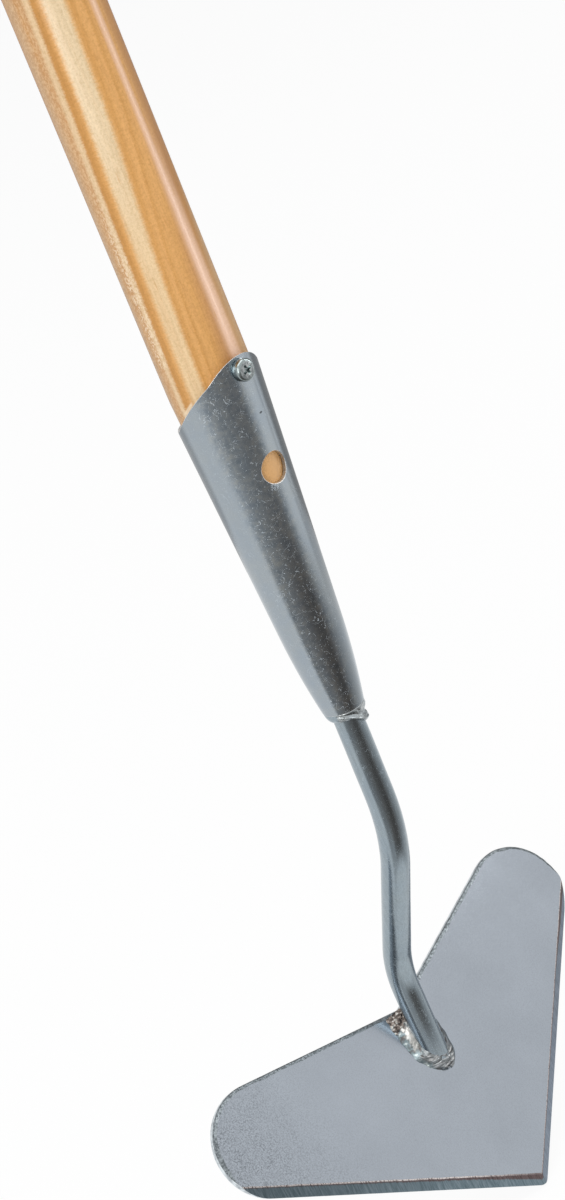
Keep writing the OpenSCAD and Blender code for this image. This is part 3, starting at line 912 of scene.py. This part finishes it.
def make_blade(zinc, ground, sheared, dark_strip):
    """Heart-shaped plate with two ground cutting edges and rounded cut edges elsewhere."""
    plate, bevel, side, rounding = range(4)
    half, normal = blade_border()
    mirrored = Vector((normal.x, -normal.y))
    border = [(p.x, p.y, d, normal) for p, d in half]
    border += [(p.x, -p.y, d, mirrored) for p, d in half[-2:0:-1]]
    count = len(border)
    points, low, land, middle, inner, ground_at = [], [], [], [], [], []

    def add_point(row, *point):
        row.append(len(points))
        points.append(point)

    for i, (x, y, offset, square) in enumerate(border):
        rise = min(0.0, -BLADE_T + EDGE_LAND + (BLADE_T - EDGE_LAND) * offset / BEVEL_W)
        add_point(low, x, y, -BLADE_T)
        add_point(land, x, y, rise)
        ground_at.append(rise < -0.02)
        if ground_at[-1]:
            wander = 0.14 * noise(Vector((x * 0.35, y * 0.35, 3.0))) * min(1.0, -rise)
            spot = Vector((x, y)) - square * (BEVEL_W - offset + wander)
            # The two bevels meet on the mirror plane
            if abs(y) < 1e-6 or spot.y * y < 0:
                spot = Vector((TIP_X - BEVEL_W / sin(TIP_HALF), 0.0))
            middle.append(land[-1])
            add_point(inner, spot.x, spot.y, 0.0)
            continue
        before, after = border[i - 1], border[(i + 1) % count]
        run = Vector((after[0] - before[0], after[1] - before[1])).normalized()
        inward = Vector((-run.y, run.x))
        size = EDGE_ROUND * ease(BEVEL_W, BEVEL_W + 5, offset)
        size *= 1 + 0.25 * noise(Vector((x, y, 9.0)) * 0.4)
        if size < 0.1:
            points[land[-1]] = (x, y, 0.0)
            middle.append(land[-1])
            inner.append(land[-1])
            continue
        points[land[-1]] = (x, y, -0.7 * size)
        add_point(middle, x + inward.x * 0.3 * size, y + inward.y * 0.3 * size, -0.2 * size)
        add_point(inner, x + inward.x * size, y + inward.y * size, 0.0)
    faces, kinds = [], []

    def add_strip(first, second, kind, ground_kind):
        for i, corners in enumerate(strip(first, second)):
            ring = tuple(dict.fromkeys(corners))
            if len(ring) > 2:
                faces.append(ring)
                kinds.append(ground_kind if ground_at[i] or ground_at[(i + 1) % count] else kind)

    add_strip(low, land, side, side)
    add_strip(land, middle, rounding, rounding)
    add_strip(middle, inner, rounding, bevel)
    faces += [tuple(inner), tuple(low)]
    kinds += [plate, plate]
    placed = [on_blade(*p) for p in points]
    piece = new_piece("blade_plate", placed, faces, "blade", "zinc_blade", [zinc, ground, sheared, dark_strip], 20)
    mesh = piece.data
    grind = mesh.uv_layers.new(name="grind")
    for polygon, kind in zip(mesh.polygons, kinds):
        polygon.material_index = kind
        polygon.use_smooth = kind != plate
        for loop in polygon.loop_indices:
            x, y, z = points[mesh.loops[loop].vertex_index]
            along = y / sin(TIP_HALF) if kind == bevel else y
            grind.data[loop].uv = (along, -z / (BLADE_T - EDGE_LAND) * BEVEL_W)


# Bead round the rod's foot, in the blade's frame: ends, height, half width and drips as x, y and size
HEEL_X = -18.4
TOE_X = 8.6
BEAD_H = 4.8
BEAD_HALF = 9.4
DRIPS = ((9.4, 4.9, 1.3), (8.3, -1.6, 1.5))


def bead_point(share, across):
    """Point of the bead, at a share of its length from the heel and from -1 to 1 across."""
    full = sqrt(max(0.0, 1 - share ** 3.2))
    x = HEEL_X + (TOE_X - HEEL_X) * share
    y = BEAD_HALF * full * (1 - 0.26 * (1 - share) ** 3) * across
    dome = (1 - abs(across) ** 2.4) * full * (0.45 + 0.55 * ease(0.0, 0.10, share))
    spot = Vector((x * 0.22, y * 0.22, 5.0))
    border = min(1.0, (1 - abs(across)) * 5)
    crumple = 1 - ease(-13.5, -9.5, x)
    wrinkle = ease(0.0, 4.5, x)
    ripple = 0.70 * noise(spot) + 0.22 * noise(spot * 2.6)
    ripple += (0.75 * crumple + 0.20 * wrinkle) * noise(spot * 5.0)
    ripple += 0.22 * wrinkle * sin(4.6 * hypot(x + 3.0, y * 0.8) + 3.0 * noise(spot * 1.5))
    z = max(-0.05, BEAD_H * dome + ripple * border * (0.5 + 0.5 * dome) - 0.05)
    swell = 0.10 * noise(Vector((x * 0.30, across * 0.8, 2.0)))
    y *= 1 + swell + 0.05 * crumple * noise(spot * 6)
    push = 0.9 * noise(Vector((across * 2.6, 8.0, share * 2.0)))
    x += (push + 1.1 * ease(-2.0, 6.0, y)) * share
    return x, y, z


def make_blade_weld(material):
    """Bead round the rod's foot: smooth flanks, a crumpled heel, and a wrinkled toe with two drips."""
    long, wide, skirt = 120, 84, 0.25
    points, places, rings = [], [], []
    for i in range(long + 1):
        share = 0.997 * i / long
        for j in range(wide + 1):
            across = 2 * j / wide - 1
            x, y, z = bead_point(share, across)
            places.append((HEEL_X + (TOE_X - HEEL_X) * share, across))
            rings.append((6.0 * atan2(y, x + 3.0), hypot(x + 3.0, y * 0.8)))
            for drip_x, drip_y, size in DRIPS:
                near = hypot(x - drip_x, y - drip_y) / size
                if near < 1.6 and z > -0.04:
                    z += 0.9 * size * exp(-2.2 * near * near)
            points.append((x, y, z))
    width = wide + 1
    border = list(range(width)) + [i * width + wide for i in range(1, long + 1)]
    border += [long * width + j for j in range(wide - 1, -1, -1)]
    border += [i * width for i in range(long - 1, 0, -1)]
    # Skirt from the border into the plate, closed underneath
    foot = range(len(points), len(points) + len(border))
    for index in border:
        x, y, z = points[index]
        points.append((x, y, z - skirt))
        places.append(places[index])
        rings.append(rings[index])
    faces = grid_faces(long, wide) + strip(border, foot) + [tuple(foot)]
    placed = [on_blade(*p) for p in points]
    piece = new_piece("blade_bead", placed, faces, "blade_weld", "weld", [material], 80)
    for name, spots in (("bead", places), ("rings", rings)):
        layer = piece.data.uv_layers.new(name=name)
        for loop in piece.data.loops:
            layer.data[loop.index].uv = spots[loop.vertex_index]


# Studio, in metres

WHITE = (1.0, 1.0, 1.0, 1.0)
FLOOR_R = 30.0
FLOOR_Z = CAD_LOW.z - 0.001
MAT_R = 1.35
MAT_INNER_R = 0.07
MAT_STEPS = 48
MAT_Z = CAD_LOW.z + 0.001
WALL_R = 0.60
WALL_TOP = 0.45
WALL_FOOT = -0.29


def seen_mix(g, lit, seen):
    """The shader seen for camera, mirrored and transmitted rays, and lit for the rest."""
    rays = g.add("ShaderNodeLightPath").outputs
    shown = g.most(rays["Is Camera Ray"], rays["Is Glossy Ray"], rays["Is Transmission Ray"])
    return g.add("ShaderNodeMixShader", {0: shown, 1: lit.outputs[0], 2: seen.outputs[0]}).outputs[0]


def make_world():
    """White to the eye and in reflections, softer as light."""
    world = bpy.data.worlds.new("studio")
    bpy.context.scene.world = world
    g = Nodes(world, bare=True)
    soft = g.add("ShaderNodeBackground", {"Color": (0.97, 0.985, 1.0, 1.0), "Strength": 0.45})
    white = g.add("ShaderNodeBackground", {"Color": WHITE, "Strength": 1.0})
    g.add("ShaderNodeOutputWorld", {"Surface": seen_mix(g, soft, white)})


def stage_object(name, points, faces, material):
    """Studio object that is no part of the tool."""
    mesh = bpy.data.meshes.new(name)
    mesh.from_pydata(points, [], faces)
    mesh.materials.append(material)
    made = added(name, mesh)
    return made


def make_floor():
    """Pale floor just under the blade's tip, white to the eye but for the tool's soft shadow."""
    g = Nodes("floor", bare=True)
    pale = g.add("ShaderNodeBsdfDiffuse", {"Color": (0.90, 0.90, 0.90, 1.0)})
    white = g.add("ShaderNodeEmission", {"Color": WHITE, "Strength": 1.0})
    shown = g.add("ShaderNodeMixShader", {0: 0.93, 1: pale.outputs[0], 2: white.outputs[0]})
    g.add("ShaderNodeOutputMaterial", {"Surface": seen_mix(g, pale, shown)})
    rim = lathe([(FLOOR_R, FLOOR_Z)], 64)[0]
    stage_object("floor", rim, [tuple(range(len(rim)))], g.owner)


def mat_shade(bearing, radius):
    """Brightness of the mat in front of the tool, at a bearing in degrees and a radius."""
    far_left = 0.75 * ease(-105, -52, bearing) + 0.25 * ease(-70, -5, bearing)
    far = 1 - 0.72 * min(far_left, 1 - ease(10, 46, bearing))
    far *= 1 - 0.36 * ease(60, 74, bearing)
    near_left = 0.74 * ease(-95, -79, bearing) + 0.26 * ease(-80, -5, bearing)
    near_right = 1 - min(max((bearing - 5) / 105, 0.0), 1.0)
    near = 1 - 0.88 * min(near_left, near_right)
    # Paler close in, under the rod's bends: on the -Y side, on the +Y side and at the border
    minus_side = (1 - ease(0.07, 0.24, radius)) * (1 - ease(-62, -40, bearing))
    plus_side = (1 - ease(0.07, 0.16, radius)) * ease(30, 90, bearing)
    inner = 1 - ease(MAT_INNER_R, 0.098, radius)
    for level, amount in ((0.60, minus_side), (0.85, plus_side), (0.92, inner)):
        near += max(0.0, level - near) * amount
    return near + (far - near) * ease(0.45, 0.62, radius)


def wall_shade(bearing, _radius):
    """Brightness of the wall behind the tool, which dims the outlines of its round parts."""
    right = ease(72, 90, bearing) * (1 - ease(138, 160, bearing))
    left = ease(138, 160, bearing) * (1 - ease(190, 215, bearing))
    return 1 - 0.66 * right - 0.40 * left


def make_card(name, rows, start, end, shade_of):
    """Curved card for reflections only, through rows of radius and height, shaded by bearing and radius."""
    steps = 118
    points, shades_at = [], []
    for radius, z in rows:
        for i in range(steps + 1):
            bearing = start + (end - start) * i / steps
            points.append(around(radius, radians(bearing), z))
            # The dark places are a little warm
            shade = shade_of(bearing, radius)
            warmth = 1 - ease(0.10, 0.40, shade)
            shades_at.append((shade * (1 + 0.12 * warmth), shade, shade * (1 - 0.08 * warmth), 1.0))
    g = Nodes(name, bare=True)
    shade = g.add("ShaderNodeAttribute", attribute_name="shade").outputs["Color"]
    glow = g.add("ShaderNodeEmission", {"Color": shade, "Strength": 1.0})
    g.add("ShaderNodeOutputMaterial", {"Surface": glow.outputs[0]})
    card = stage_object(name, points, grid_faces(len(rows) - 1, steps), g.owner)
    tones = card.data.attributes.new("shade", "FLOAT_COLOR", "POINT")
    for tone, colour in zip(tones.data, shades_at):
        tone.color = colour
    for rays in ("camera", "diffuse", "shadow", "transmission"):
        setattr(card, "visible_" + rays, False)


def add_lamp(name, width, height, power, colour=(1.0, 1.0, 1.0)):
    """Softbox that the camera doesn't see, at the origin and facing down."""
    data = bpy.data.lights.new(name, "AREA")
    data.shape = "RECTANGLE"
    data.size = width
    data.size_y = height
    data.energy = power
    data.color = colour
    lamp = added(name, data)
    lamp.visible_camera = False
    return lamp


def stand_lamp(lamp, bearing, distance, z):
    """Stands a lamp upright at a bearing about the handle, facing it."""
    outward = Vector(around(1, radians(bearing), 0))
    lamp.location = outward * distance + Vector((0, 0, z))
    lamp.rotation_euler = outward.to_track_quat("Z", "Y").to_euler()


def make_lamps():
    """Soft key on the left, narrow strip on the right and broad softbox overhead."""
    stand_lamp(add_lamp("key_softbox", 0.70, 1.32, 11.5, (1.0, 0.985, 0.965)), -64, 1.6, 0.54)
    stand_lamp(add_lamp("side_strip", 0.03, 0.27, 0.16), 52, 0.30, 0.065)
    add_lamp("overhead_softbox", 3.0, 3.0, 45.0).location.z = 2.4


def make_camera():
    """Camera at the photograph's place, with its long side's field of view."""
    data = bpy.data.cameras.new("camera")
    data.sensor_width = 36.0
    data.lens = 67.546
    camera = added("camera", data)
    # Columns: right, up, back and place
    camera.matrix_world = Matrix((
        (0.66161, -0.03649, 0.74896, 0.525374),
        (0.65981, 0.50285, -0.55832, -0.398005),
        (-0.35626, 0.86356, 0.35675, 0.169901),
        (0, 0, 0, 1),
    ))
    bpy.context.scene.camera = camera


# Colours of the plating
SHEET_ZINC = (0.354, 0.397, 0.430)
ROD_ZINC = (0.312, 0.368, 0.405)
BEAD_ZINC = (0.37, 0.40, 0.41)
BLADE_ZINC = (0.371, 0.407, 0.452)
SCREW_ZINC = (0.300, 0.345, 0.345)

# Marks on the socket: scuff and nick as in spot_mask, and the zone towards the camera as bearing, half and
# soft border in degrees
SCUFF = ((-2.6, -42.2), (1.8, 1.6))
NICK = ((1.85, -19.5), (0.75, 0.35))
FACING_ZONE = (-32, 24, 16)

make_camera()
make_handle()
# The socket's cut edges are bare steel, and their pale patches are also a painted highlight on the rims
make_socket(
    zinc_material("zinc_sheet", SHEET_ZINC, 0.13, 0.95, scuff=SCUFF, nick=NICK, zone=FACING_ZONE),
    cut_material("sheet_cut", (0.86, 0.86, 0.84), (0.46, 0.47, 0.48), 130.0, 0.42),
)
make_screw(
    zinc_material("zinc_screw", SCREW_ZINC, 0.20, 0.4),
    cut_material("screw_face", (0.44, 0.47, 0.47), (0.22, 0.24, 0.245), 900.0, 0.34),
)
ROD = zinc_material("zinc_rod", ROD_ZINC, 0.18, 0.50, 0.35)
make_neck(ROD)
make_socket_weld(ROD, zinc_material("zinc_bead", BEAD_ZINC, 0.24, 0.6))
make_blade(
    plate_material(BLADE_ZINC),
    ground_material(),
    cut_material("blade_side", (0.74, 0.80, 0.83), (0.40, 0.44, 0.47), 320.0, 0.30),
    # The blade's rounded edges are given dark tones
    cut_material("blade_rounding", (0.30, 0.335, 0.355), (0.11, 0.125, 0.135), 1200.0, 0.35),
)
make_blade_weld(weld_material())

make_world()
make_floor()
MAT_ROWS = [(MAT_R + (MAT_INNER_R - MAT_R) * i / MAT_STEPS, MAT_Z) for i in range(MAT_STEPS + 1)]
make_card("floor_mat", MAT_ROWS, -108.0, 128.0, mat_shade)
make_card("edge_wall", [(WALL_R, WALL_TOP), (WALL_R, WALL_FOOT)], 72.0, 215.0, wall_shade)
make_lamps()

bpy.context.scene.view_settings.view_transform = "Standard"
